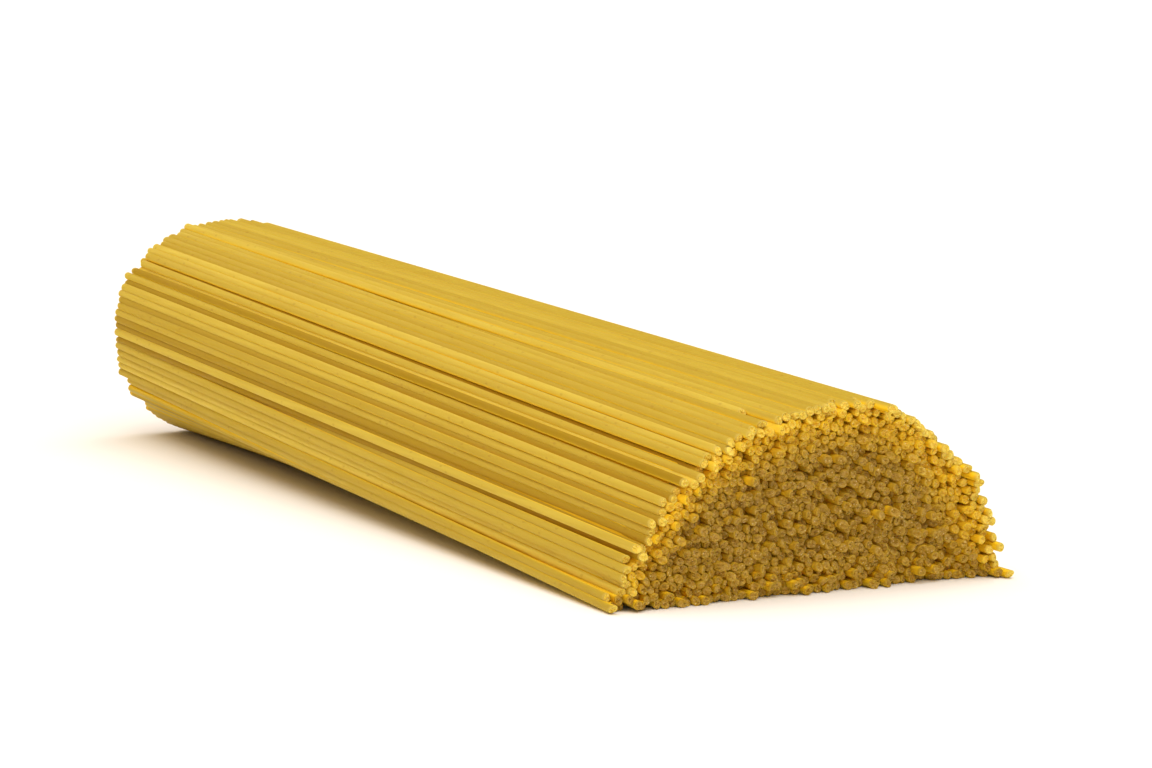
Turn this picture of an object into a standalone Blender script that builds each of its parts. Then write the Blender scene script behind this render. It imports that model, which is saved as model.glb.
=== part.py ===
"""A bundle of dry spaghetti, lying loose on a table.

The strands are straight and all of one length. They are gathered into an upright round
at the back end and have slumped into a low half round with a flat base at the front end.
Metres, +Z up. The strands run along Y, with the slumped front end towards -Y.
The origin is under the middle of the bundle, on the surface that it lies on.

The bundle is one solid: a core with the outer strands fused on along its sides, and with
the ends of inner strands fused on at its two faces.
"""

import math

import bmesh
import bpy
import numpy as np

# Strands
STRAND_LENGTH = 0.257
STRAND_DIAMETER = 0.0017
STRAND_RADIUS = STRAND_DIAMETER / 2
STRAND_COUNT = 880
STRAND_SIDES = 6
PACK_SEED = 7
SLIDE_SEED = 8
ROLL_SEED = 11

# Outline of the bundle at each end, seen from the front. A power of 2 is an ellipse, the
# tuck is how far the base is in from the widest place, and a toe spreads along the table.
FRONT_END = {
    "left_width": 0.0436,
    "right_width": 0.0405,
    "height": 0.0363,
    "widest_at": 0.0012,
    "tuck": 0.0013,
    "left_power": 2.18,
    "right_power": 1.60,
    "lean": 0.0098,
    "left_toe": 0.0017,
    "right_toe": 0.0030,
    "loose": (0.0, 0.0008, 0.0008, 0.0002, 0.0002, 0.0012, 0.0012, 0.0),
}
BACK_END = {
    "left_width": 0.0295,
    "right_width": 0.0295,
    "height": 0.0491,
    "widest_at": 0.0250,
    "tuck": 0.0225,
    "left_power": 2.05,
    "right_power": 2.05,
    "lean": 0.0,
    "left_toe": 0.0,
    "right_toe": 0.0,
    "loose": (0.0, 0.0004, 0.0004, 0.0004, 0.0004, 0.0004, 0.0004, 0.0),
}
TOE_HEIGHT = 0.0070

# A place round an end is a share of the area swept from the middle of the base,
# anticlockwise. "loose" is how far back a strand may lie from the outline at these places.
LOOSE_PLACES = (0.12, 0.16, 0.34, 0.40, 0.58, 0.64, 0.84, 0.88)
LOOSE_PART = 0.45
LOOSE_LEAST = 0.3
CENTRE_HEIGHT_SHARE = 0.42
OUTLINE_POINTS = 720

# Packing of the strands inside an outline
GOLDEN_ANGLE = math.pi * (3.0 - math.sqrt(5.0))
FIRST_SPREAD = 0.006
FIRST_FILL = 0.985
SETTLE_STEPS = 300
STEPS_PER_SEARCH = 10
SEARCH_REACH = 1.6 * STRAND_DIAMETER
PUSH_SHARE = 0.4
TINY = 1e-12
ROUND_TO = 9

# How far the strands have slid along the bundle, towards the back end
SLIDE_SPREAD = 0.0010
SLIDE_MOST = 0.0024
STRAY_PART = 0.02
STRAY_LEAST = 0.0025
STRAY_MOST = 0.0040
RIGHT_SLIDE = -0.0026
RIGHT_SLIDE_FROM = 0.0310
RIGHT_SLIDE_TO = 0.0400

# Single outer strands, by their place round the front end
SLID_STRANDS = ((0.455, -0.0060), (0.155, -0.0050), (0.300, -0.0044))
BROKEN_STRAND = 0.5625
BROKEN_OFF = 0.0100

# What of the strands is modelled
CORE_INSET = 0.00085
CORE_RECESS = 0.0003
CORE_SIDES = 40
OUTER_DEPTH = 0.0017
FUSED_RADIUS = 0.00090
FLAT_RADIUS = STRAND_RADIUS / math.cos(math.pi / STRAND_SIDES)
ON_TABLE = 1.05 * STRAND_RADIUS
STUB_SIDES = 5
STUB_DEPTH = 0.0010
FRONT_STUB_LEAST = 0.00080
BACK_STUB_LEAST = 0.00130

# Facets that meet at less than this are shaded as one round surface
ROUND_ANGLE = math.radians(75)
PASTA_COLOUR = (0.60, 0.36, 0.055, 1.0)
PASTA_ROUGHNESS = 0.45


def clear_scene():
    for item in list(bpy.data.objects):
        bpy.data.objects.remove(item, do_unlink=True)


def outline(end, inset=0.0):
    """Points round one end, anticlockwise from the right, as (x, z). An inset shrinks them."""
    left_width = end["left_width"] - inset
    right_width = end["right_width"] - inset
    height = end["height"] - inset
    widest_at = max(end["widest_at"], inset + end["tuck"])
    drop = widest_at - inset

    around = np.linspace(0.0, math.pi, OUTLINE_POINTS, endpoint=False)
    on_right = around < math.pi / 2
    power = np.where(on_right, end["right_power"], end["left_power"])
    width = np.where(on_right, right_width, left_width)
    across = np.sign(np.cos(around)) * np.abs(np.cos(around)) ** (2.0 / power)
    rise = np.sin(around) ** (2.0 / power)
    top = np.c_[width * across, widest_at + (height - widest_at) * rise]

    corner = np.linspace(0.0, math.pi / 2, OUTLINE_POINTS // 3, endpoint=False)
    left_base = end["tuck"] - left_width
    right_base = right_width - end["tuck"]
    left_x = left_base - end["tuck"] * np.cos(corner)
    left = np.c_[left_x, widest_at - drop * np.sin(corner)]
    base_x = np.linspace(left_base, right_base, OUTLINE_POINTS // 2, endpoint=False)
    base = np.c_[base_x, np.full(len(base_x), inset)]
    right_x = right_base + end["tuck"] * np.sin(corner)
    right = np.c_[right_x, widest_at - drop * np.cos(corner)]

    x, z = np.vstack([top, left, base, right]).T
    above = np.clip(z - widest_at, 0.0, None) / (height - widest_at)
    toe = np.where(x > 0.0, end["right_toe"] / right_width, end["left_toe"] / left_width)
    low = np.clip(1.0 - z / TOE_HEIGHT, 0.0, None) ** 2
    return np.c_[x * (1.0 + toe * low) + end["lean"] * above, z]


def centre_of(end):
    return np.array([0.0, CENTRE_HEIGHT_SHARE * end["height"]])


def sector_table(end, inset):
    """Angle, radius and swept share of the area round an end's centre, from straight down."""
    offset = outline(end, inset) - centre_of(end)
    angle = np.arctan2(offset[:, 1], offset[:, 0])
    radius = np.hypot(offset[:, 0], offset[:, 1])
    order = np.argsort(angle)
    turn = np.linspace(-math.pi / 2, 1.5 * math.pi, 2 * OUTLINE_POINTS + 1)
    reach = np.interp(turn, angle[order], radius[order], period=2 * math.pi)
    swept = np.cumsum((reach[1:] + reach[:-1]) ** 2)
    share = np.concatenate([[0.0], swept / swept[-1]])
    return turn, reach, share


def at_share(end, share, depth_share=1.0, inset=0.0):
    """The points at these shares of the way round, and this far out from the centre."""
    turn, reach, swept = sector_table(end, inset)
    angle = np.interp(share, swept, turn)
    radius = depth_share * np.interp(angle, turn, reach)
    return centre_of(end) + np.c_[np.cos(angle) * radius, np.sin(angle) * radius]


def wall_of(end):
    """Outline points and the inward direction at each."""
    points = outline(end)
    along = np.roll(points, -1, axis=0) - points
    length = np.hypot(along[:, 0], along[:, 1])
    kept = length > TINY
    inward = np.c_[-along[:, 1], along[:, 0]][kept] / length[kept, None]
    return points[kept], inward


def nearest_wall(centres, points):
    gap = centres[:, None, :] - points[None, :, :]
    return (gap**2).sum(axis=2).argmin(axis=1)


def settle(centres, end, set_back):
    """Pushes the strands apart until they only touch, and keeps them inside the outline."""
    points, inward = wall_of(end)
    for step in range(SETTLE_STEPS):
        if step % STEPS_PER_SEARCH == 0:
            gap = centres[:, None, :] - centres[None, :, :]
            near = np.hypot(gap[..., 0], gap[..., 1]) < SEARCH_REACH
            first, second = np.nonzero(np.triu(near, 1))
            wall = nearest_wall(centres, points)
        apart = centres[first] - centres[second]
        distance = np.hypot(apart[:, 0], apart[:, 1]) + TINY
        push = PUSH_SHARE * np.clip(STRAND_DIAMETER - distance, 0.0, None) / distance
        move = np.zeros_like(centres)
        np.add.at(move, first, apart * push[:, None])
        np.add.at(move, second, -apart * push[:, None])
        centres = centres + move
        depth = ((centres - points[wall]) * inward[wall]).sum(axis=1)
        lift = np.clip(STRAND_RADIUS + set_back - depth, 0.0, None)
        centres = np.round(centres + inward[wall] * lift[:, None], ROUND_TO)
    return centres


def depth_in(centres, end):
    points, inward = wall_of(end)
    wall = nearest_wall(centres, points)
    return ((centres - points[wall]) * inward[wall]).sum(axis=1)


def strand_layout():
    """Where each strand's centre is at the front and back ends, as two lists of (x, z)."""
    draw = np.random.default_rng(PACK_SEED)
    number = np.arange(STRAND_COUNT) + 0.5
    angle = number * GOLDEN_ANGLE
    radius = np.sqrt(number / STRAND_COUNT)
    disc = np.c_[radius * np.cos(angle), radius * np.sin(angle)]
    disc += draw.normal(0.0, FIRST_SPREAD, disc.shape)
    disc *= FIRST_FILL
    share = (np.arctan2(disc[:, 1], disc[:, 0]) / (2 * math.pi) + 0.25) % 1.0
    out = np.hypot(disc[:, 0], disc[:, 1])
    loose = draw.random(STRAND_COUNT) < LOOSE_PART
    loose_by = np.where(loose, draw.uniform(LOOSE_LEAST, 1.0, STRAND_COUNT), 0.0)
    ends = []
    for end in (FRONT_END, BACK_END):
        set_back = loose_by * np.interp(share, LOOSE_PLACES, end["loose"])
        ends.append(settle(at_share(end, share, out), end, set_back))
    return ends


def strand_at(front, share):
    """The number of the strand nearest to this place round the front end."""
    place = at_share(FRONT_END, np.array([share]))
    return int(np.hypot(*(front - place).T).argmin())


def strand_ends(front):
    """How far along Y each strand's front and back ends are."""
    draw = np.random.default_rng(SLIDE_SEED)
    slide = draw.normal(0.0, SLIDE_SPREAD, STRAND_COUNT)
    slide = np.clip(slide, -SLIDE_MOST, SLIDE_MOST)
    stray = draw.random(STRAND_COUNT) < STRAY_PART
    reach = draw.uniform(STRAY_LEAST, STRAY_MOST, STRAND_COUNT)
    slide = np.where(stray, reach * np.sign(slide), slide)
    rightness = (front[:, 0] - RIGHT_SLIDE_FROM) / (RIGHT_SLIDE_TO - RIGHT_SLIDE_FROM)
    slide += RIGHT_SLIDE * np.clip(rightness, 0.0, 1.0)
    for share, distance in SLID_STRANDS:
        slide[strand_at(front, share)] = distance
    front_end = slide - STRAND_LENGTH / 2
    back_end = slide + STRAND_LENGTH / 2
    front_end[strand_at(front, BROKEN_STRAND)] += BROKEN_OFF
    return front_end, back_end


def new_object(name, points, faces, collection):
    mesh = bpy.data.meshes.new(name)
    mesh.from_pydata([tuple(point) for point in points], [], faces)
    item = bpy.data.objects.new(name, mesh)
    collection.objects.link(item)
    return item


def prism(name, start, end, radius, sides, roll, collection):
    """A strand from start to end, each as (x, y, z), with its ends square to the bundle."""
    turn = roll + 2 * math.pi * np.arange(sides) / sides
    ring = np.c_[radius * np.cos(turn), np.zeros(sides), radius * np.sin(turn)]
    points = np.vstack([np.asarray(start) + ring, np.asarray(end) + ring])
    faces = [tuple(range(sides)), tuple(reversed(range(sides, 2 * sides)))]
    for side in range(sides):
        after = (side + 1) % sides
        faces.append((side, side + sides, after + sides, after))
    return new_object(name, points, faces, collection)


def core(collection):
    """The body that the strands are fused to, ruled from the front outline to the back."""
    down = centre_of(FRONT_END)[1]
    right_corner = math.atan2(FRONT_END["right_width"] + FRONT_END["right_toe"], down)
    left_corner = math.atan2(FRONT_END["left_width"] + FRONT_END["left_toe"], down)
    turn, _, swept = sector_table(FRONT_END, CORE_INSET)
    corner_turns = [right_corner - math.pi / 2, 1.5 * math.pi - left_corner]
    corners = np.interp(corner_turns, turn, swept)
    even = (np.arange(CORE_SIDES) + 0.5) / CORE_SIDES
    from_corner = np.abs(even[:, None] - corners[None, :]).min(axis=1)
    away = from_corner > 0.5 / CORE_SIDES
    share = np.sort(np.concatenate([even[away], corners]))
    count = len(share)
    front = at_share(FRONT_END, share, inset=CORE_INSET)
    back = at_share(BACK_END, share, inset=CORE_INSET)
    reach = STRAND_LENGTH / 2 - CORE_RECESS
    points = [(x, -reach, z) for x, z in front] + [(x, reach, z) for x, z in back]
    faces = [tuple(range(count)), tuple(reversed(range(count, 2 * count)))]
    for side in range(count):
        after = (side + 1) % count
        faces.append((side, side + count, after + count))
        faces.append((side, after + count, after))
    return new_object("spaghetti_bundle", points, faces, collection)


def add_strands(collection):
    """The outer strands over their whole length, and the inner ends that stand out most."""
    front, back = strand_layout()
    front_end, back_end = strand_ends(front)
    draw = np.random.default_rng(ROLL_SEED)
    roll = draw.uniform(0.0, 2 * math.pi, STRAND_COUNT)
    outer = np.minimum(depth_in(front, FRONT_END), depth_in(back, BACK_END)) < OUTER_DEPTH
    face = STRAND_LENGTH / 2
    inside = face - CORE_RECESS - STUB_DEPTH
    for number in range(STRAND_COUNT):
        name = f"strand_{number:03d}"
        start = [front[number, 0], front_end[number], front[number, 1]]
        end = [back[number, 0], back_end[number], back[number, 1]]
        on_table = [point for point in (start, end) if point[2] < ON_TABLE]
        for point in on_table:
            point[2] = STRAND_RADIUS
        if outer[number] and on_table:
            prism(name, start, end, FLAT_RADIUS, STRAND_SIDES, 0.0, collection)
        elif outer[number]:
            prism(name, start, end, FUSED_RADIUS, STRAND_SIDES, roll[number], collection)
        elif -front_end[number] > face + FRONT_STUB_LEAST:
            inner = [start[0], -inside, start[2]]
            prism(name, start, inner, FUSED_RADIUS, STUB_SIDES, roll[number], collection)
        elif back_end[number] > face + BACK_STUB_LEAST:
            inner = [end[0], inside, end[2]]
            prism(name, inner, end, FUSED_RADIUS, STUB_SIDES, roll[number], collection)


def fuse(body, collection):
    """Joins everything in the collection to the body, and removes it."""
    union = body.modifiers.new("fuse", "BOOLEAN")
    union.operation = "UNION"
    union.operand_type = "COLLECTION"
    union.collection = collection
    union.solver = "EXACT"
    graph = bpy.context.evaluated_depsgraph_get()
    fused = bpy.data.meshes.new_from_object(body.evaluated_get(graph))
    body.modifiers.clear()
    body.data = fused
    for item in list(collection.objects):
        bpy.data.objects.remove(item, do_unlink=True)
    bpy.data.collections.remove(collection)


def keep_largest_shell(body):
    """Fills sealed hollows and drops loose scraps, which are all shells of their own."""
    mesh = bmesh.new()
    mesh.from_mesh(body.data)
    waiting = set(mesh.faces)
    shells = []
    while waiting:
        reached = [waiting.pop()]
        shell = list(reached)
        while reached:
            for edge in reached.pop().edges:
                for face in edge.link_faces:
                    if face in waiting:
                        waiting.remove(face)
                        reached.append(face)
                        shell.append(face)
        shells.append(shell)
    shells.sort(key=len)
    for shell in shells[:-1]:
        bmesh.ops.delete(mesh, geom=shell, context="FACES")
    bmesh.ops.triangulate(mesh, faces=mesh.faces)
    mesh.to_mesh(body.data)
    mesh.free()


def centre_over_origin(body):
    """Moves the bundle so that the origin is under the middle of its box."""
    points = np.array([point.co[:] for point in body.data.vertices])
    middle = (points.min(axis=0) + points.max(axis=0)) / 2
    for point in body.data.vertices:
        point.co.x -= middle[0]
        point.co.y -= middle[1]


def paint(body):
    body.data.shade_smooth()
    body.data.set_sharp_from_angle(angle=ROUND_ANGLE)
    material = bpy.data.materials.new("dry_pasta")
    material.use_nodes = True
    shader = material.node_tree.nodes["Principled BSDF"]
    shader.inputs["Base Color"].default_value = PASTA_COLOUR
    shader.inputs["Roughness"].default_value = PASTA_ROUGHNESS
    shader.inputs["Metallic"].default_value = 0.0
    body.data.materials.clear()
    body.data.materials.append(material)


def main():
    clear_scene()
    scene_objects = bpy.context.scene.collection
    strands = bpy.data.collections.new("strands")
    scene_objects.children.link(strands)
    body = core(scene_objects)
    add_strands(strands)
    fuse(body, strands)
    keep_largest_shell(body)
    centre_over_origin(body)
    paint(body)


main()
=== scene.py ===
"""Dry spaghetti: every strand of the bundle as a real round strand, with its material.

Metres, in the part's own frame. The layout of the strands is worked out here by the same
rules, sizes and seeds as in the part's source. It is then eased, by 0.6 mm on average, so
that the straight strands lie beside each other. A core under them closes the gaps.
"""

import math

import bpy
import numpy as np
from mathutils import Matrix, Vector


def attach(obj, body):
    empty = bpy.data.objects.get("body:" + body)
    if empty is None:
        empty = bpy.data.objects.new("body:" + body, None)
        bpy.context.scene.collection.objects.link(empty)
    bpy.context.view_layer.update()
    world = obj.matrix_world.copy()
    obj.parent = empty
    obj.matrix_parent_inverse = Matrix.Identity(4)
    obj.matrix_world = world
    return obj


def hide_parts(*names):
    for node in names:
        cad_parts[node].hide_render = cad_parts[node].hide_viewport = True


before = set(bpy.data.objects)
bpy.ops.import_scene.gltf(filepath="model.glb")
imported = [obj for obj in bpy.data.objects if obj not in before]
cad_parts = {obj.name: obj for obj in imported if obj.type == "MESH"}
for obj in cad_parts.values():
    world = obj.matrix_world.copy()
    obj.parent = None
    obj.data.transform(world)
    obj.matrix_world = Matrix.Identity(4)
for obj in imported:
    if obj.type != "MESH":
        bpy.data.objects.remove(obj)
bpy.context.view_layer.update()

# Strands, as in the part's source
STRAND_LENGTH = 0.257
STRAND_DIAMETER = 0.0017
STRAND_RADIUS = STRAND_DIAMETER / 2
STRAND_COUNT = 880
PACK_SEED = 7
SLIDE_SEED = 8

# Outline of the bundle at each end, as in the part's source
FRONT_END = {
    "left_width": 0.0436,
    "right_width": 0.0405,
    "height": 0.0363,
    "widest_at": 0.0012,
    "tuck": 0.0013,
    "left_power": 2.18,
    "right_power": 1.60,
    "lean": 0.0098,
    "left_toe": 0.0017,
    "right_toe": 0.0030,
    "loose": (0.0, 0.0008, 0.0008, 0.0002, 0.0002, 0.0012, 0.0012, 0.0),
}
BACK_END = {
    "left_width": 0.0295,
    "right_width": 0.0295,
    "height": 0.0491,
    "widest_at": 0.0250,
    "tuck": 0.0225,
    "left_power": 2.05,
    "right_power": 2.05,
    "lean": 0.0,
    "left_toe": 0.0,
    "right_toe": 0.0,
    "loose": (0.0, 0.0004, 0.0004, 0.0004, 0.0004, 0.0004, 0.0004, 0.0),
}
TOE_HEIGHT = 0.0070
LOOSE_PLACES = (0.12, 0.16, 0.34, 0.40, 0.58, 0.64, 0.84, 0.88)
LOOSE_PART = 0.45
LOOSE_LEAST = 0.3
CENTRE_HEIGHT_SHARE = 0.42
OUTLINE_POINTS = 720

# Packing of the strands inside an outline, as in the part's source
GOLDEN_ANGLE = math.pi * (3.0 - math.sqrt(5.0))
FIRST_SPREAD = 0.006
FIRST_FILL = 0.985
SETTLE_STEPS = 300
STEPS_PER_SEARCH = 10
SEARCH_REACH = 1.6 * STRAND_DIAMETER
PUSH_SHARE = 0.4
TINY = 1e-12
ROUND_TO = 9

# How far the strands have slid along the bundle, as in the part's source
SLIDE_SPREAD = 0.0010
SLIDE_MOST = 0.0024
STRAY_PART = 0.02
STRAY_LEAST = 0.0025
STRAY_MOST = 0.0040
RIGHT_SLIDE = -0.0026
RIGHT_SLIDE_FROM = 0.0310
RIGHT_SLIDE_TO = 0.0400
SLID_STRANDS = ((0.455, -0.0060), (0.155, -0.0050), (0.300, -0.0044))
BROKEN_STRAND = 0.5625
BROKEN_OFF = 0.0100

# The part's source moves the finished bundle by this much, to centre it over the origin
CENTRE_SHIFT = np.array([0.00084669, 0.00107583, 0.0])

# The straight strands are settled against each other at these places along the bundle,
# and the outer ones are drawn out to the wall, so that they lie side by side
EASE_PLACES = (0.0, 1.0, 0.5, 0.25, 0.75, 0.125, 0.875)
EASE_STEPS = 160
DRAWN_REACH = 0.0014
DRAWN_SHARE = 0.09

# A loose strand is set back by halfway between its set-back in the packing and the most
# there, times the first of these at the front end and the second at the back end
EASE_LOOSE = (1.5, 0.4)

# Every draw that only changes how the strands look comes from this seed
LOOK_SEED = 21

# Thickness of the strands, as shares of the true one. Those on the table keep the true one
THINNEST = 1.01
THICKEST = 1.05
ON_TABLE = THICKEST * STRAND_RADIUS

# Strands deeper than this below the outline belong to the inside, and need fewer faces
SURFACE_DEPTH = 0.0044
SURFACE_SIDES = 14
SURFACE_ROWS = 9
INSIDE_SIDES = 12
INSIDE_ROWS = 2

# Strands deeper than this slide along the bundle only this share as far as the others
SLIDE_DEPTH = 0.0025
INNER_SLIDE = 0.70

# The ends are tilted, bevelled, chipped and uneven
END_TILT = 0.40
RIM_SHARE = 0.82
BEVEL_LENGTH = 0.00022
TIP_LENGTH = 0.00085
INNER_TIP_LENGTH = 0.0022
MIDDLE_RING_SHARE = 0.50
BREAK_DRAWS = 17
BREAK_DEPTH = 0.00030
CHIP_DEPTH = 0.00028
CHIP_TURN = 3.0
CHIP_EVEN = 0.6
CHIP_UNEVEN = 0.4
SHARP_ANGLE = math.radians(36)

# Shading of the outer strands, softer than round, and the grooves between them, where the
# sides that face in get a painted amber glow
SOFTNESS = 0.6
GROOVE_FROM = 0.60
GROOVE_OVER = 0.90

# Tint of the strands, from 0 for dark to 1 for pale, with a few odd ones. Each pair is the
# value where the bundle is tight, and what is added to it where the bundle is loosest
LOOSEST = max(FRONT_END["loose"])
MIDDLE_TINT = 0.5
TINT_SPREAD = (0.04, 0.20)
PALE_BELOW = 0.06
PALE_TINT = (0.60, 0.40)
DARK_ABOVE = 0.93
DARK_TINT = (0.40, -0.35)

# The strand that ends short on the top
BROKEN_PROUD = 0.0009
BROKEN_TINT = 0.78

# How far inside a strand counts as, from 0 at the outline to 1 at the depth over which it
# rises; it sets the painted shade inside the bundle. That depth is greater where the front
# end faces up, and half as much to the right, where light falls, so less is painted in shade
INNER_FROM = 0.0015
INNER_OVER = 0.0055
INNER_OVER_LIT = 0.0035
LIT_FROM_RIGHT = 0.5

# The colours of the outermost strands give way this fast to the painted shade and glow of
# the inside, as the strands get further inside
INNER_FALL = 6.0

# Strands inside the bundle are paler over this length before either end: a painted amber
# glow in place of their painted shade
END_ZONE = 0.006

# Where the front end faces down, cut ends count as nearly as far inside as the innermost,
# and so get nearly as much painted shade
UNDER_FROM = 0.3
UNDER_OVER = 0.4
UNDER_INNER = 0.9

# The core, under the outer strands and behind their ends, with rounded rims
CORE_DEPTH = 0.0018
CORE_END = 0.0032
CORE_ROUND = 0.0060
CORE_ROUND_PLACES = (0.0, 0.06, 0.16, 0.32, 0.55, 1.0)
CORE_ROWS = 24
CORE_EVERY = 3
FOLD_SHARE = 0.98

# Bake map: strands lie side by side in rows, with their cut ends at the ends of each strip.
# As shares of its cell, the gap beside a strip is MAP_GAP_RATIO times the one at its end
MAP_ROWS = 2
MAP_FILL = 0.86
MAP_GAP_RATIO = 10
MAP_END = 0.012
MAP_DISC_WIDTH = 0.45
MAP_DISC_HEIGHT = 0.42

# Colours of the drawn sides, outside and inside the bundle. The grooves get a painted amber
# glow, and the strands inside painted shade, with a painted amber glow near their ends
SIDE_DARK = (0.355, 0.215, 0.004)
SIDE_PALE = (0.715, 0.546, 0.078)
SIDE_STREAK = (0.450, 0.275, 0.020)
SIDE_BRAN = (0.330, 0.160, 0.020)
# Painted amber glow on sides that face into the grooves
SIDE_GROOVE_PAINTED_GLOW = (0.930, 0.600, 0.016)
SIDE_TIP = (0.640, 0.480, 0.110)
# Painted shade inside, a painted amber glow near the ends, and painted shade at the tips
INSIDE_PAINTED_SHADE = (0.420, 0.235, 0.008)
INSIDE_PAINTED_GLOW_NEAR_END = (0.920, 0.595, 0.022)
INSIDE_TIP_PAINTED_SHADE = (0.462, 0.288, 0.031)

# Colours of the snapped ends: painted shade deep in the bundle, a painted amber glow nearer
# the outline, paler at the outline, and painted glints. The grain runs between the two of each pair
CUT_INSIDE_PAINTED_SHADE = ((0.362, 0.206, 0.009), (0.535, 0.356, 0.092))
CUT_OUTER_PAINTED_GLOW = ((0.880, 0.520, 0.012), (0.920, 0.660, 0.090))
CUT_OUTERMOST = ((0.780, 0.570, 0.065), (0.920, 0.720, 0.150))
CUT_GLINT = (0.860, 0.720, 0.380)

# Colours of the core: a painted amber glow, lighter than the strands, and painted shade on
# its end faces. The lines run between the two of the pair
CORE_PAINTED_GLOW_LINES = ((0.660, 0.390, 0.008), (0.880, 0.590, 0.020))
CORE_END_PAINTED_SHADE = (0.640, 0.345, 0.012)

# How light runs into the pasta, and how much its surfaces shine
GLOW_SHARE = 0.35
GLOW_DEPTH = 0.0009
GLOW_REACH = (0.80, 1.0, 0.70)
REFRACTION = 1.45
SIDE_SHINE = 0.06
CUT_SHINE = 0.12

# The middle range of the noise, which is spread over the whole wanted range
NOISE_LOW = 0.3
NOISE_HIGH = 0.7

# Floor and studio. Each light has a name, a direction, a strength, a width in degrees and
# a colour
FLOOR_HALF = 8.0
FLOOR_COLOURS = ((0.93, 0.93, 0.93), (0.95, 0.95, 0.95))
LIGHTS = (
    ("overhead", (0.0, 0.05, -1.0), 2.48, 85.0, (1.0, 1.0, 1.0)),
    ("left_side", (1.0, 0.15, -1.20), 0.76, 60.0, (1.0, 0.70, 0.36)),
    ("right_side", (-1.0, -0.25, -1.0), 0.6, 60.0, (1.0, 0.92, 0.80)),
    ("front_fill", (0.30, 1.0, -0.45), 0.78, 60.0, (1.0, 0.95, 0.86)),
    ("back_fill", (0.25, -1.0, -0.45), 0.50, 60.0, (1.0, 0.97, 0.90)),
)
WORLD_COLOUR = (1.0, 0.60, 0.24, 1.0)
WORLD_STRENGTH = 0.10
CAMERA_PLACE = (-0.4751, -0.8868, 0.1573)
CAMERA_TOWARDS = (0.4841, 0.8652, -0.1304)
CAMERA_LENS = 150.5
CAMERA_SENSOR = 36.0
CAMERA_NEAREST = 0.01
CAMERA_FURTHEST = 100.0


def outline(end):
    """Points round one end, anticlockwise from the right, as (x, z)."""
    left_width = end["left_width"]
    right_width = end["right_width"]
    height = end["height"]
    widest_at = max(end["widest_at"], end["tuck"])

    around = np.linspace(0.0, math.pi, OUTLINE_POINTS, endpoint=False)
    on_right = around < math.pi / 2
    power = np.where(on_right, end["right_power"], end["left_power"])
    width = np.where(on_right, right_width, left_width)
    across = np.sign(np.cos(around)) * np.abs(np.cos(around)) ** (2.0 / power)
    rise = np.sin(around) ** (2.0 / power)
    top = np.c_[width * across, widest_at + (height - widest_at) * rise]

    corner = np.linspace(0.0, math.pi / 2, OUTLINE_POINTS // 3, endpoint=False)
    left_base = end["tuck"] - left_width
    right_base = right_width - end["tuck"]
    left_x = left_base - end["tuck"] * np.cos(corner)
    left = np.c_[left_x, widest_at - widest_at * np.sin(corner)]
    base_x = np.linspace(left_base, right_base, OUTLINE_POINTS // 2, endpoint=False)
    base = np.c_[base_x, np.zeros_like(base_x)]
    right_x = right_base + end["tuck"] * np.sin(corner)
    right = np.c_[right_x, widest_at - widest_at * np.cos(corner)]

    x, z = np.vstack([top, left, base, right]).T
    above = np.clip(z - widest_at, 0.0, None) / (height - widest_at)
    toe = np.where(x > 0.0, end["right_toe"] / right_width, end["left_toe"] / left_width)
    low = np.clip(1.0 - z / TOE_HEIGHT, 0.0, None) ** 2
    return np.c_[x * (1.0 + toe * low) + end["lean"] * above, z]


def centre_of(end):
    """The place in an end from which its shares are measured, as (x, z)."""
    return np.array([0.0, CENTRE_HEIGHT_SHARE * end["height"]])


def sector_table(end):
    """Angle, radius and swept share of the area round an end's centre, from straight down."""
    offset = outline(end) - centre_of(end)
    angle = np.arctan2(offset[:, 1], offset[:, 0])
    radius = np.hypot(offset[:, 0], offset[:, 1])
    order = np.argsort(angle)
    turn = np.linspace(-math.pi / 2, 1.5 * math.pi, 2 * OUTLINE_POINTS + 1)
    reach = np.interp(turn, angle[order], radius[order], period=2 * math.pi)
    swept = np.cumsum((reach[1:] + reach[:-1]) ** 2)
    share = np.concatenate([[0.0], swept / swept[-1]])
    return turn, reach, share


def at_share(end, share, depth_share=1.0):
    """The points at these shares of the way round, and this far out from the centre."""
    turn, reach, swept = sector_table(end)
    angle = np.interp(share, swept, turn)
    radius = depth_share * np.interp(angle, turn, reach)
    return centre_of(end) + np.c_[np.cos(angle) * radius, np.sin(angle) * radius]


def outline_between(place):
    """The outline at this share of the way from the front end to the back end."""
    share = np.linspace(0.0, 1.0, OUTLINE_POINTS, endpoint=False)
    return (1.0 - place) * at_share(FRONT_END, share) + place * at_share(BACK_END, share)


def wall_through(points):
    """Points of an outline and the inward direction at each."""
    along = np.roll(points, -1, axis=0) - points
    length = np.hypot(along[:, 0], along[:, 1])
    kept = length > TINY
    inward = np.c_[-along[:, 1], along[:, 0]][kept] / length[kept, None]
    return points[kept], inward


def nearest_wall(centres, wall):
    """The number of the wall's point that is nearest to each centre."""
    gap = centres[:, None, :] - wall[0][None, :, :]
    return (gap**2).sum(axis=2).argmin(axis=1)


def depth_inside(centres, wall, nearest):
    """How far each centre is inside the wall."""
    points, inward = wall
    return ((centres - points[nearest]) * inward[nearest]).sum(axis=1)


def near_pairs(centres):
    """The strands that are near enough to touch soon, as two lists of numbers."""
    gap = centres[:, None, :] - centres[None, :, :]
    near = (gap**2).sum(axis=2) < SEARCH_REACH**2
    return np.nonzero(np.triu(near, 1))


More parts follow.
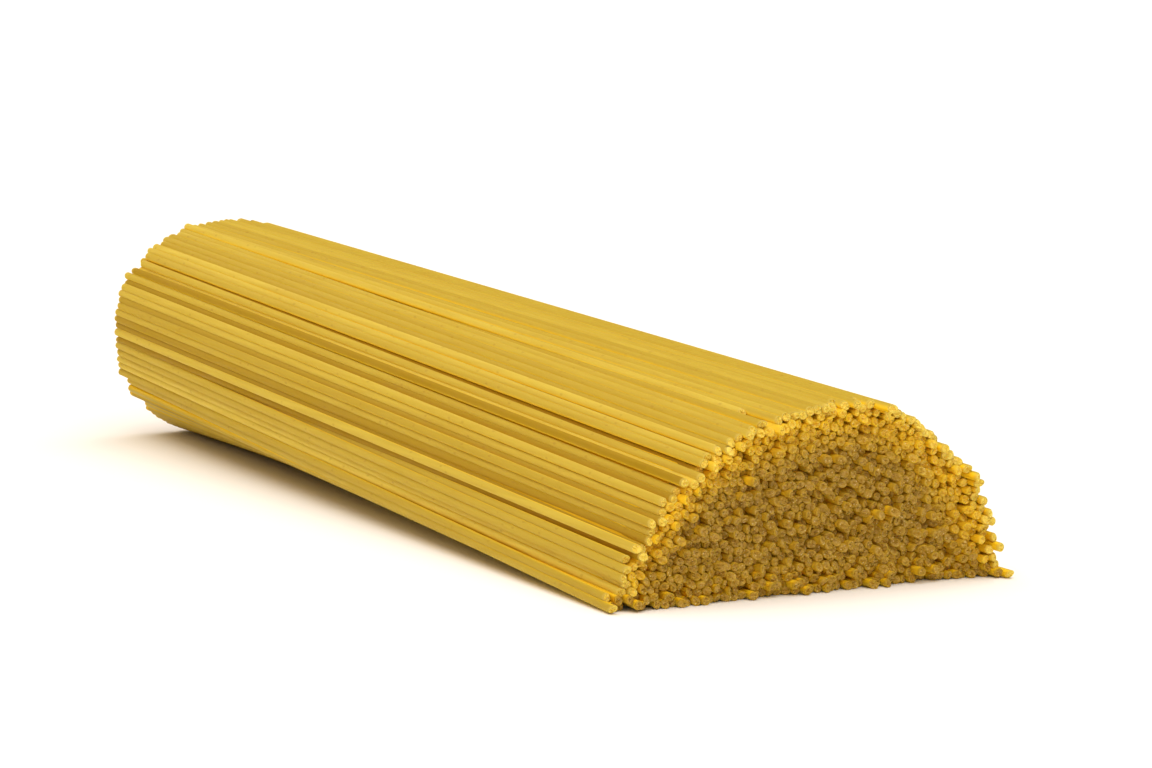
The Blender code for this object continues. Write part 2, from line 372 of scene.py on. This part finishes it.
def apart_by(centres, first, second):
    """How far each strand is pushed away from those that it overlaps."""
    apart = centres[first] - centres[second]
    distance = np.hypot(apart[:, 0], apart[:, 1]) + TINY
    push = PUSH_SHARE * np.clip(STRAND_DIAMETER - distance, 0.0, None) / distance
    move = np.zeros_like(centres)
    np.add.at(move, first, apart * push[:, None])
    np.add.at(move, second, -apart * push[:, None])
    return move


def settle(centres, wall, set_back):
    """Pushes the strands apart until they only touch, and keeps them inside the wall."""
    inward = wall[1]
    for step in range(SETTLE_STEPS):
        if step % STEPS_PER_SEARCH == 0:
            first, second = near_pairs(centres)
            nearest = nearest_wall(centres, wall)
        centres = centres + apart_by(centres, first, second)
        depth = depth_inside(centres, wall, nearest)
        lift = np.clip(STRAND_RADIUS + set_back - depth, 0.0, None)
        centres = np.round(centres + inward[nearest] * lift[:, None], ROUND_TO)
    return centres


def strand_layout():
    """Where each strand's centre is at the front and back ends, as lists of (x, z), how far
    back from the outline it is set there, and how far back the loosest would be."""
    draw = np.random.default_rng(PACK_SEED)
    number = np.arange(STRAND_COUNT) + 0.5
    angle = number * GOLDEN_ANGLE
    radius = np.sqrt(number / STRAND_COUNT)
    disc = np.c_[radius * np.cos(angle), radius * np.sin(angle)]
    disc += draw.normal(0.0, FIRST_SPREAD, disc.shape)
    disc *= FIRST_FILL
    share = (np.arctan2(disc[:, 1], disc[:, 0]) / (2 * math.pi) + 0.25) % 1.0
    out = np.hypot(disc[:, 0], disc[:, 1])
    loose = draw.random(STRAND_COUNT) < LOOSE_PART
    loose_by = np.where(loose, draw.uniform(LOOSE_LEAST, 1.0, STRAND_COUNT), 0.0)
    ends = []
    set_backs = []
    most_back = []
    for end in (FRONT_END, BACK_END):
        most = np.interp(share, LOOSE_PLACES, end["loose"])
        set_back = loose_by * most
        wall = wall_through(outline(end))
        ends.append(settle(at_share(end, share, out), wall, set_back))
        set_backs.append(set_back)
        most_back.append(most)
    return ends, set_backs, most_back


def ease(front, back, set_backs):
    """Settles whole straight strands, so that they don't run through each other on the way."""
    walls = [wall_through(outline_between(place)) for place in EASE_PLACES]
    known = [None] * len(EASE_PLACES)
    for step in range(EASE_STEPS):
        for turn, place in enumerate(EASE_PLACES):
            wall = walls[turn]
            centres = (1.0 - place) * front + place * back
            if step % STEPS_PER_SEARCH == 0:
                known[turn] = (*near_pairs(centres), nearest_wall(centres, wall))
            first, second, nearest = known[turn]
            move = apart_by(centres, first, second)
            depth = depth_inside(centres + move, wall, nearest)
            set_back = (1.0 - place) * set_backs[0] + place * set_backs[1]
            short = STRAND_RADIUS + set_back - depth
            drawn = np.where(short > -DRAWN_REACH, DRAWN_SHARE * short, 0.0)
            move += wall[1][nearest] * np.where(short > 0.0, short, drawn)[:, None]
            move /= (1.0 - place) ** 2 + place**2
            front = np.round(front + (1.0 - place) * move, ROUND_TO)
            back = np.round(back + place * move, ROUND_TO)
    return front, back


def strand_at(front, share):
    """The number of the strand nearest to this place round the front end."""
    place = at_share(FRONT_END, np.array([share]))
    return int(np.hypot(*(front - place).T).argmin())


def strand_ends(front):
    """How far along Y each strand's front and back ends are."""
    draw = np.random.default_rng(SLIDE_SEED)
    slide = draw.normal(0.0, SLIDE_SPREAD, STRAND_COUNT)
    slide = np.clip(slide, -SLIDE_MOST, SLIDE_MOST)
    stray = draw.random(STRAND_COUNT) < STRAY_PART
    reach = draw.uniform(STRAY_LEAST, STRAY_MOST, STRAND_COUNT)
    slide = np.where(stray, reach * np.sign(slide), slide)
    rightness = (front[:, 0] - RIGHT_SLIDE_FROM) / (RIGHT_SLIDE_TO - RIGHT_SLIDE_FROM)
    slide += RIGHT_SLIDE * np.clip(rightness, 0.0, 1.0)
    for share, distance in SLID_STRANDS:
        slide[strand_at(front, share)] = distance
    front_end = slide - STRAND_LENGTH / 2
    back_end = slide + STRAND_LENGTH / 2
    front_end[strand_at(front, BROKEN_STRAND)] += BROKEN_OFF
    return front_end, back_end


def place_in_bundle(front, back):
    """How deep inside the outline each strand is where it is shallowest, and the direction
    outwards from it, at the front end and halfway along."""
    depths = []
    outwards = []
    for place in (0.0, 0.5, 1.0):
        centres = (1.0 - place) * front + place * back
        wall = wall_through(outline_between(place))
        nearest = nearest_wall(centres, wall)
        depths.append(depth_inside(centres, wall, nearest))
        outwards.append(-wall[1][nearest])
    return np.min(depths, axis=0), outwards[0], outwards[1]


class StrandMesh:
    """Gathers strands, and joins them into one mesh."""

    def __init__(self, count, sides, middle_rows, tip_length, softness):
        """The softer the strands are, the flatter is their shading, as in strands that light
        runs through."""
        self.sides = sides
        self.middle_rows = middle_rows
        self.tip_length = tip_length
        self.softness = softness
        self.columns = math.ceil(count / MAP_ROWS)
        self.added = 0
        self.point_count = 0
        self.points = []
        self.values = {"tint": [], "tip": [], "inner": [], "groove": []}
        self.faces = []
        self.cut = []
        self.map_points = []
        self.shading = []

    def strip(self):
        """The left, right, lower and upper edge of the next strand's strip of the bake map."""
        column, row = divmod(self.added, MAP_ROWS)
        gap = (1.0 - MAP_FILL) / 2
        left = (column + gap) / self.columns
        right = (column + 1 - gap) / self.columns
        low = row / MAP_ROWS
        return left, right, low, low + (1.0 - gap / MAP_GAP_RATIO) / MAP_ROWS

    def add_points(self, points, **values):
        """Adds points, with a value of each kind, and gives the number of the first."""
        first = self.point_count
        self.points.append(points)
        self.point_count += len(points)
        for key, groups in self.values.items():
            groups.append(np.broadcast_to(values[key], len(points)))
        return first

    def add(self, start, end, radius, roll, tilts, breaks, tint, inner, cut_painted_shade, outward):
        """A straight strand from start to end, each as (x, y, z)."""
        sides = self.sides
        length = end[1] - start[1]
        bevel = BEVEL_LENGTH / length
        tip = self.tip_length / length
        body = np.linspace(tip, 1.0 - tip, self.middle_rows + 2)
        share = np.concatenate([[0.0, bevel], body, [1.0 - bevel, 1.0]])
        rows = len(share)
        turn = roll + 2 * math.pi * np.arange(sides) / sides
        across = np.cos(turn)
        up = np.sin(turn)
        centre = start + share[:, None] * (end - start)
        wide = np.full(rows, radius)
        wide[[0, -1]] *= RIM_SHARE
        ring = np.empty((rows, sides, 3))
        ring[:, :, 0] = centre[:, 0, None] + wide[:, None] * across
        ring[:, :, 1] = centre[:, 1, None]
        ring[:, :, 2] = centre[:, 2, None] + wide[:, None] * up
        for row, tilt in ((0, tilts[0]), (1, tilts[0]), (-2, tilts[1]), (-1, tilts[1])):
            ring[row, :, 1] += wide[row] * (tilt[0] * across + tilt[1] * up)
        for row, into, rough in ((0, 1.0, breaks[0]), (-1, -1.0, breaks[1])):
            chip = np.clip(np.cos(turn - CHIP_TURN * rough[0]) + rough[1], 0.0, None)
            ring[row, :, 1] += into * CHIP_DEPTH * chip * (CHIP_EVEN + CHIP_UNEVEN * rough[:sides])

        # Sides that face into the bundle get a painted amber glow in the grooves between strands
        facing = across * outward[0] + up * outward[1]
        near_end = np.zeros(rows)
        near_end[[0, 1, -2, -1]] = 1.0
        first = self.add_points(
            ring.reshape(-1, 3),
            tint=tint,
            tip=np.repeat(near_end, sides),
            inner=np.repeat(np.where(near_end > 0.0, cut_painted_shade, inner), sides),
            groove=np.tile(np.clip((GROOVE_FROM - facing) / GROOVE_OVER, 0.0, 1.0), rows),
        )
        seen = self.softness * np.clip(1.0 + facing, 0.0, 1.0)
        shading = np.zeros((sides, 3))
        shading[:, 0] = (1.0 - seen) * across + seen * outward[0]
        shading[:, 2] = (1.0 - seen) * up + seen * outward[1]
        shading /= np.linalg.norm(shading, axis=1)[:, None]
        self.add_side(first, share, shading)
        last = first + (rows - 1) * sides
        disc = np.c_[across, up]
        self.add_cut(False, first, ring[0], breaks[0], disc, tint, cut_painted_shade)
        self.add_cut(True, last, ring[-1], breaks[1], disc, tint, cut_painted_shade)
        self.added += 1

    def add_side(self, first, share, shading):
        """The faces between the rings. Zero shading leaves a face's own, as on the bevels."""
        sides = self.sides
        left, right, low, high = self.strip()
        strip_low = low + MAP_END
        strip_high = high - MAP_END
        column_at = np.linspace(left, right, sides + 1)
        row_at = strip_low + (strip_high - strip_low) * share
        after_shading = np.roll(shading, -1, axis=0)
        round_shading = np.stack([shading, shading, after_shading, after_shading], axis=1)
        round_shading = round_shading.reshape(-1, 3)
        last_row = len(share) - 2
        for row in range(last_row + 1):
            here = first + row * sides
            there = here + sides
            for side in range(sides):
                after = (side + 1) % sides
                self.faces.append((here + side, there + side, there + after, here + after))
                self.cut.append(0)
                self.map_points += [
                    (column_at[side], row_at[row]),
                    (column_at[side], row_at[row + 1]),
                    (column_at[side + 1], row_at[row + 1]),
                    (column_at[side + 1], row_at[row]),
                ]
            on_body = 0 < row < last_row
            self.shading.append(round_shading if on_body else np.zeros_like(round_shading))

    def add_cut(self, at_back, rim_at, rim, rough, disc, tint, cut_painted_shade):
        """A snapped end: an uneven ring inside the rim, and one point in the middle."""
        sides = self.sides
        middle = rim.mean(axis=0)
        inside = middle + MIDDLE_RING_SHARE * (rim - middle)
        inside[:, 1] += BREAK_DEPTH * rough[:sides]
        deep = middle + np.array([0.0, BREAK_DEPTH * rough[sides], 0.0])
        points = np.vstack([inside, deep])
        inside_at = self.add_points(points, tint=tint, tip=1.0, inner=cut_painted_shade, groove=0.0)
        deep_at = inside_at + sides

        left, right, low, high = self.strip()
        map_height = high - MAP_END / 2 if at_back else low + MAP_END / 2
        map_middle = np.array([(left + right) / 2, map_height])
        map_size = np.array([(right - left) * MAP_DISC_WIDTH, MAP_END * MAP_DISC_HEIGHT])
        map_rim = map_middle + map_size * disc
        map_inside = map_middle + MIDDLE_RING_SHARE * (map_rim - map_middle)
        for side in range(sides):
            after = (side + 1) % sides
            outer_face = [rim_at + side, rim_at + after, inside_at + after, inside_at + side]
            outer_map = [map_rim[side], map_rim[after], map_inside[after], map_inside[side]]
            inner_face = [inside_at + side, inside_at + after, deep_at]
            inner_map = [map_inside[side], map_inside[after], map_middle]
            if at_back:
                for corners in (outer_face, outer_map, inner_face, inner_map):
                    corners.reverse()
            self.faces += [outer_face, inner_face]
            self.cut += [1, 1]
            self.map_points += outer_map + inner_map
            self.shading.append(np.zeros((len(outer_face) + len(inner_face), 3)))

    def finish(self, name, side, cut):
        """Makes the mesh, with one material on the sides and one on the cut ends."""
        mesh = bpy.data.meshes.new(name)
        mesh.from_pydata(np.vstack(self.points).tolist(), [], self.faces)
        mesh.materials.append(side)
        mesh.materials.append(cut)
        mesh.polygons.foreach_set("material_index", self.cut)
        mesh.shade_smooth()
        mesh.set_sharp_from_angle(angle=SHARP_ANGLE)
        mesh.polygons.foreach_set("use_smooth", [not is_cut for is_cut in self.cut])
        for key, groups in self.values.items():
            values = np.concatenate(groups).astype(np.float32)
            mesh.attributes.new(key, "FLOAT", "POINT").data.foreach_set("value", values)
        mesh.normals_split_custom_set(np.vstack(self.shading).tolist())
        layer = mesh.uv_layers.new(name="OFBake")
        layer.data.foreach_set("uv", np.array(self.map_points, dtype=np.float32).ravel())
        put_in_place(name, mesh)


def put_in_place(name, mesh):
    """Makes a mesh a piece of the bundle."""
    piece = bpy.data.objects.new(name, mesh)
    bpy.context.scene.collection.objects.link(piece)
    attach(piece, "root")
    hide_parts("spaghetti_bundle")


def link(tree, source, target):
    tree.links.new(source, target)


def attribute(tree, name):
    node = tree.nodes.new("ShaderNodeAttribute")
    node.attribute_name = name
    return node.outputs["Fac"]


def arithmetic(tree, operation, *values, clamp=False):
    """A sum on node outputs and plain numbers. Clamped, it stays between nothing and one."""
    node = tree.nodes.new("ShaderNodeMath")
    node.operation = operation
    node.use_clamp = clamp
    for value, socket in zip(values, node.inputs):
        if isinstance(value, float):
            socket.default_value = value
        else:
            link(tree, value, socket)
    return node.outputs["Value"]


def spread(tree, value, source, target=(0.0, 1.0)):
    """A value spread from one range over another, and held at its ends."""
    node = tree.nodes.new("ShaderNodeMapRange")
    node.inputs["From Min"].default_value = source[0]
    node.inputs["From Max"].default_value = source[1]
    node.inputs["To Min"].default_value = target[0]
    node.inputs["To Max"].default_value = target[1]
    link(tree, value, node.inputs["Value"])
    return node.outputs["Result"]


def place_on_bundle(tree):
    return tree.nodes.new("ShaderNodeTexCoord").outputs["Object"]


def stretched_place(tree, scale):
    """The place on the bundle, multiplied by a scale for each direction."""
    mapping = tree.nodes.new("ShaderNodeMapping")
    mapping.inputs["Scale"].default_value = scale
    link(tree, place_on_bundle(tree), mapping.inputs["Vector"])
    return mapping.outputs["Vector"]


def noise(tree, scale, detail=2.0, low=0.0, high=1.0):
    """Noise at this many cycles per metre in each direction, spread to run from low to high."""
    texture = tree.nodes.new("ShaderNodeTexNoise")
    texture.inputs["Scale"].default_value = 1.0
    texture.inputs["Detail"].default_value = detail
    link(tree, stretched_place(tree, scale), texture.inputs["Vector"])
    return spread(tree, texture.outputs["Fac"], (NOISE_LOW, NOISE_HIGH), (low, high))


def specks(tree, scale, least, most):
    """Small separate spots: full nearer than least to their middles, and gone beyond most."""
    texture = tree.nodes.new("ShaderNodeTexVoronoi")
    texture.inputs["Scale"].default_value = 1.0
    link(tree, stretched_place(tree, scale), texture.inputs["Vector"])
    return spread(tree, texture.outputs["Distance"], (most, least))


def near_ends(tree):
    """Rises from nothing to one over the last few millimetres before either end, where the
    strands inside take a painted amber glow.
    """
    parts = tree.nodes.new("ShaderNodeSeparateXYZ")
    link(tree, place_on_bundle(tree), parts.inputs["Vector"])
    along = arithmetic(tree, "ABSOLUTE", parts.outputs["Y"])
    zone = (STRAND_LENGTH / 2 - END_ZONE, STRAND_LENGTH / 2 - END_ZONE / 2)
    return spread(tree, along, zone)


def outermost(tree, inner):
    """One at the outline, and nothing a little way in, where the painted shade and glow of the
    inside take over.
    """
    return arithmetic(tree, "MULTIPLY_ADD", inner, -INNER_FALL, 1.0, clamp=True)


def mixed(tree, share, first, second):
    """A mix of two colours, each a node output or a plain colour."""
    node = tree.nodes.new("ShaderNodeMix")
    node.data_type = "RGBA"
    link(tree, share, node.inputs["Factor"])
    for colour, socket in ((first, "A_Color"), (second, "B_Color")):
        target = next(item for item in node.inputs if item.identifier == socket)
        if isinstance(colour, tuple):
            target.default_value = (*colour, 1.0)
        else:
            link(tree, colour, target)
    return next(item for item in node.outputs if item.identifier == "Result_Color")


def bump(tree, height, distance, strength, before=None):
    node = tree.nodes.new("ShaderNodeBump")
    node.inputs["Distance"].default_value = distance
    node.inputs["Strength"].default_value = strength
    link(tree, height, node.inputs["Height"])
    if before is not None:
        link(tree, before, node.inputs["Normal"])
    return node.outputs["Normal"]


def new_material(name):
    material = bpy.data.materials.new(name)
    material.use_nodes = True
    return material, material.node_tree, material.node_tree.nodes["Principled BSDF"]


def like_pasta(shader, shine):
    """Light runs a little way into it, and it shines only faintly."""
    shader.inputs["Subsurface Weight"].default_value = GLOW_SHARE
    shader.inputs["Subsurface Scale"].default_value = GLOW_DEPTH
    shader.inputs["Subsurface Radius"].default_value = GLOW_REACH
    shader.inputs["IOR"].default_value = REFRACTION
    shader.inputs["Specular IOR Level"].default_value = shine


def side_material():
    """The smooth drawn side: yellow, slightly clear, with faint streaks and bran specks. The
    grooves get a painted amber glow, and the strands inside painted shade and glow.
    """
    material, tree, shader = new_material("pasta_side")
    colour = mixed(tree, attribute(tree, "tint"), SIDE_DARK, SIDE_PALE)
    streaks = noise(tree, (900.0, 14.0, 900.0), detail=3.0, high=0.35)
    colour = mixed(tree, streaks, colour, SIDE_STREAK)
    bran = specks(tree, (520.0, 260.0, 520.0), least=0.10, most=0.19)
    colour = mixed(tree, arithmetic(tree, "MULTIPLY", bran, 0.25), colour, SIDE_BRAN)
    # Painted amber glow in the grooves between strands
    colour = mixed(tree, attribute(tree, "groove"), colour, SIDE_GROOVE_PAINTED_GLOW)
    tip = attribute(tree, "tip")
    colour = mixed(tree, arithmetic(tree, "MULTIPLY", tip, 0.60), colour, SIDE_TIP)
    # Strands inside: painted shade, a painted amber glow near the ends, painted shade at tips
    inner = attribute(tree, "inner")
    inside = mixed(tree, near_ends(tree), INSIDE_PAINTED_SHADE, INSIDE_PAINTED_GLOW_NEAR_END)
    inside = mixed(tree, arithmetic(tree, "MULTIPLY", tip, inner), inside, INSIDE_TIP_PAINTED_SHADE)
    colour = mixed(tree, outermost(tree, inner), inside, colour)
    link(tree, colour, shader.inputs["Base Color"])
    roughness = noise(tree, (700.0, 60.0, 700.0), low=0.40, high=0.55)
    link(tree, roughness, shader.inputs["Roughness"])
    drawn = noise(tree, (1500.0, 120.0, 1500.0), detail=3.0)
    drawn = bump(tree, drawn, distance=0.00004, strength=0.35)
    fine = noise(tree, (5200.0, 3600.0, 5200.0))
    fine = bump(tree, fine, distance=0.00002, strength=0.30, before=drawn)
    link(tree, fine, shader.inputs["Normal"])
    like_pasta(shader, SIDE_SHINE)
    return material


def cut_material():
    """A snapped end: browner, grainy, with painted shade deep in the bundle, a painted amber
    glow nearer its outline, and painted glints.
    """
    material, tree, shader = new_material("pasta_cut")
    grain = noise(tree, (1200.0, 1200.0, 1200.0), detail=3.0)
    outer = mixed(tree, grain, *CUT_OUTER_PAINTED_GLOW)
    deep = mixed(tree, grain, *CUT_INSIDE_PAINTED_SHADE)
    pale = mixed(tree, grain, *CUT_OUTERMOST)
    # Painted shade on cut ends deep in the bundle, a painted amber glow nearer its outline
    inner = attribute(tree, "inner")
    colour = mixed(tree, inner, outer, deep)
    colour = mixed(tree, outermost(tree, inner), colour, pale)
    # Painted glints: pale specks in the colour of the cut ends
    glint = specks(tree, (1300.0, 1300.0, 1300.0), least=0.12, most=0.20)
    colour = mixed(tree, arithmetic(tree, "MULTIPLY", glint, 0.60), colour, CUT_GLINT)
    link(tree, colour, shader.inputs["Base Color"])
    roughness = noise(tree, (1900.0, 1900.0, 1900.0), low=0.22, high=0.62)
    link(tree, roughness, shader.inputs["Roughness"])
    link(tree, bump(tree, grain, distance=0.00014, strength=0.9), shader.inputs["Normal"])
    like_pasta(shader, CUT_SHINE)
    return material


def core_material():
    """What shows in the gaps: a painted amber glow, with faint lines along the strands, and
    browner painted shade on the ends.
    """
    material, tree, shader = new_material("pasta_core")
    lines = noise(tree, (800.0, 8.0, 800.0))
    # Painted amber glow in the gaps, and browner painted shade on the end faces
    colour = mixed(tree, lines, *CORE_PAINTED_GLOW_LINES)
    colour = mixed(tree, attribute(tree, "end"), colour, CORE_END_PAINTED_SHADE)
    link(tree, colour, shader.inputs["Base Color"])
    shader.inputs["Roughness"].default_value = 0.6
    link(tree, bump(tree, lines, distance=0.0002, strength=0.6), shader.inputs["Normal"])
    like_pasta(shader, SIDE_SHINE)
    return material


def set_in(points, inset):
    """An outline set in by this much. A corner too tight for that is cut straight across."""
    along = np.roll(points, -1, axis=0) - np.roll(points, 1, axis=0)
    inward = np.c_[-along[:, 1], along[:, 0]] / np.hypot(along[:, 0], along[:, 1])[:, None]
    moved = points + inset * inward
    gap = moved[:, None, :] - points[None, :, :]
    clear = np.sqrt((gap**2).sum(axis=2).min(axis=1)) > FOLD_SHARE * inset
    number = np.arange(len(points))
    x = np.interp(number, number[clear], moved[clear, 0], period=len(points))
    z = np.interp(number, number[clear], moved[clear, 1], period=len(points))
    return np.c_[x, z]


def make_core():
    """A closed body that follows the bundle, just under the outer strands. Its end faces
    have rims of their own, so that they can take a browner painted shade."""
    near = (np.array(CORE_ROUND_PLACES) * CORE_ROUND + CORE_END) / STRAND_LENGTH
    between = np.linspace(near[-1], 1.0 - near[-1], CORE_ROWS)[1:-1]
    places = np.concatenate([near, between, 1.0 - near[::-1]])
    rings = []
    for place in places:
        along = (place - 0.5) * STRAND_LENGTH
        to_end = (0.5 * STRAND_LENGTH - CORE_END - abs(along)) / CORE_ROUND
        inset = CORE_DEPTH * (1.0 + (1.0 - min(to_end, 1.0)) ** 2)
        ring = set_in(outline_between(place), inset)[::CORE_EVERY]
        rings.append(np.c_[ring[:, 0], np.full(len(ring), along), ring[:, 1]])
    sides = len(rings[0])
    middles = [rings[0].mean(axis=0), rings[-1].mean(axis=0)]
    points = np.vstack([*rings, rings[0], rings[-1], *middles]) + CENTRE_SHIFT
    rows = len(places)
    front_rim = rows * sides
    back_rim = front_rim + sides
    faces = []
    for side in range(sides):
        after = (side + 1) % sides
        for row in range(rows - 1):
            here = row * sides
            there = here + sides
            faces.append((here + side, here + after, there + after, there + side))
        faces.append((front_rim + after, front_rim + side, back_rim + sides))
        faces.append((back_rim + side, back_rim + after, back_rim + sides + 1))
    mesh = bpy.data.meshes.new("strands_core")
    mesh.from_pydata(points.tolist(), [], faces)
    mesh.shade_smooth()
    mesh.materials.append(core_material())
    at_end = np.zeros(len(points), dtype=np.float32)
    at_end[front_rim:] = 1.0
    mesh.attributes.new("end", "FLOAT", "POINT").data.foreach_set("value", at_end)
    put_in_place("strands_core", mesh)


def make_strands():
    """Lays out the strands, draws how each one looks, and makes the outer and inner ones."""
    (front, back), set_backs, most_back = strand_layout()
    front_end, back_end = strand_ends(front)
    eased_backs = [
        np.where(by > 0.0, 0.5 * loose * (by + most), 0.0)
        for loose, by, most in zip(EASE_LOOSE, set_backs, most_back)
    ]
    front, back = ease(front, back, eased_backs)
    depth, outward_front, outward = place_in_bundle(front, back)

    draw = np.random.default_rng(LOOK_SEED)
    radius = STRAND_RADIUS * draw.uniform(THINNEST, THICKEST, STRAND_COUNT)
    roll = draw.uniform(0.0, 2 * math.pi, STRAND_COUNT)
    tilts = draw.normal(0.0, END_TILT, (STRAND_COUNT, 2, 2))
    looseness = np.clip(most_back[0] / LOOSEST, 0.0, 1.0)
    tint_spread = TINT_SPREAD[0] + TINT_SPREAD[1] * looseness
    tint = np.clip(MIDDLE_TINT + tint_spread * draw.normal(0.0, 1.0, STRAND_COUNT), 0.0, 1.0)
    special = draw.random(STRAND_COUNT)
    tint = np.where(special < PALE_BELOW, PALE_TINT[0] + PALE_TINT[1] * looseness, tint)
    tint = np.where(special > DARK_ABOVE, DARK_TINT[0] + DARK_TINT[1] * looseness, tint)
    breaks = draw.uniform(-1.0, 1.0, (STRAND_COUNT, 2, BREAK_DRAWS))

    # Painted shade: deeper strands count as further inside, less where light falls on the front
    lit = np.clip(outward_front[:, 1] + LIT_FROM_RIGHT * outward_front[:, 0], 0.0, 1.0)
    inner = np.clip((depth - INNER_FROM) / (INNER_OVER + INNER_OVER_LIT * lit), 0.0, 1.0)
    # Painted shade on cut ends where the front end faces down
    under = np.clip((-outward_front[:, 1] - UNDER_FROM) / UNDER_OVER, 0.0, 1.0)
    cut_painted_shade = np.maximum(inner, UNDER_INNER * under)
    middle_y = (front_end + back_end) / 2
    shift = np.where(depth > SLIDE_DEPTH, (INNER_SLIDE - 1.0) * middle_y, 0.0)
    front_end = front_end + shift
    back_end = back_end + shift

    broken = int(front_end.argmax())
    front[broken] += BROKEN_PROUD * outward[broken]
    back[broken] += BROKEN_PROUD * outward[broken]
    tint[broken] = BROKEN_TINT

    side = side_material()
    cut = cut_material()
    surface = depth < SURFACE_DEPTH
    kinds = (
        ("strands_surface", surface, SURFACE_SIDES, SURFACE_ROWS, TIP_LENGTH, SOFTNESS),
        ("strands_inside", ~surface, INSIDE_SIDES, INSIDE_ROWS, INNER_TIP_LENGTH, 0.0),
    )
    for name, chosen, sides, middle_rows, tip_length, softness in kinds:
        mesh = StrandMesh(int(chosen.sum()), sides, middle_rows, tip_length, softness)
        for number in np.nonzero(chosen)[0]:
            size = radius[number]
            if min(front[number, 1], back[number, 1]) < ON_TABLE:
                size = STRAND_RADIUS
            start = np.array([front[number, 0], front_end[number], front[number, 1]]) + CENTRE_SHIFT
            end = np.array([back[number, 0], back_end[number], back[number, 1]]) + CENTRE_SHIFT
            start[2] = max(start[2], STRAND_RADIUS)
            end[2] = max(end[2], STRAND_RADIUS)
            mesh.add(
                start,
                end,
                size,
                roll[number],
                tilts[number],
                breaks[number],
                tint[number],
                inner[number],
                cut_painted_shade[number],
                outward[number],
            )
        mesh.finish(name, side, cut)


def make_floor():
    """A plain pale floor."""
    material, tree, shader = new_material("floor")
    shade = noise(tree, (3.0, 3.0, 3.0))
    link(tree, mixed(tree, shade, *FLOOR_COLOURS), shader.inputs["Base Color"])
    shader.inputs["Roughness"].default_value = 0.9
    shader.inputs["Specular IOR Level"].default_value = 0.0
    half = FLOOR_HALF
    corners = [(-half, -half, 0), (half, -half, 0), (half, half, 0), (-half, half, 0)]
    mesh = bpy.data.meshes.new("floor")
    mesh.from_pydata(corners, [], [(0, 1, 2, 3)])
    mesh.materials.append(material)
    floor = bpy.data.objects.new("floor", mesh)
    bpy.context.scene.collection.objects.link(floor)


def looking(towards):
    """The rotation of a light or camera that looks in this direction."""
    return Vector(towards).to_track_quat("-Z", "Y").to_euler()


def make_light(name, towards, strength, width, colour):
    data = bpy.data.lights.new(name, "SUN")
    data.energy = strength
    data.angle = math.radians(width)
    data.color = colour
    lamp = bpy.data.objects.new(name, data)
    lamp.rotation_euler = looking(towards)
    bpy.context.scene.collection.objects.link(lamp)


def make_world():
    world = bpy.data.worlds.new("studio")
    world.use_nodes = True
    background = world.node_tree.nodes["Background"]
    background.inputs["Color"].default_value = WORLD_COLOUR
    background.inputs["Strength"].default_value = WORLD_STRENGTH
    bpy.context.scene.world = world


def make_camera():
    """The camera at the photo's viewing angle, fitted to the bundle's outline."""
    data = bpy.data.cameras.new("camera")
    data.sensor_width = CAMERA_SENSOR
    data.lens = CAMERA_LENS
    data.clip_start = CAMERA_NEAREST
    data.clip_end = CAMERA_FURTHEST
    camera = bpy.data.objects.new("camera", data)
    camera.location = Vector(CAMERA_PLACE) + Vector(CENTRE_SHIFT.tolist())
    camera.rotation_euler = looking(CAMERA_TOWARDS)
    bpy.context.scene.collection.objects.link(camera)
    bpy.context.scene.camera = camera


bpy.context.scene.view_settings.view_transform = "Standard"
make_core()
make_strands()
make_floor()
for light in LIGHTS:
    make_light(*light)
make_world()
make_camera()
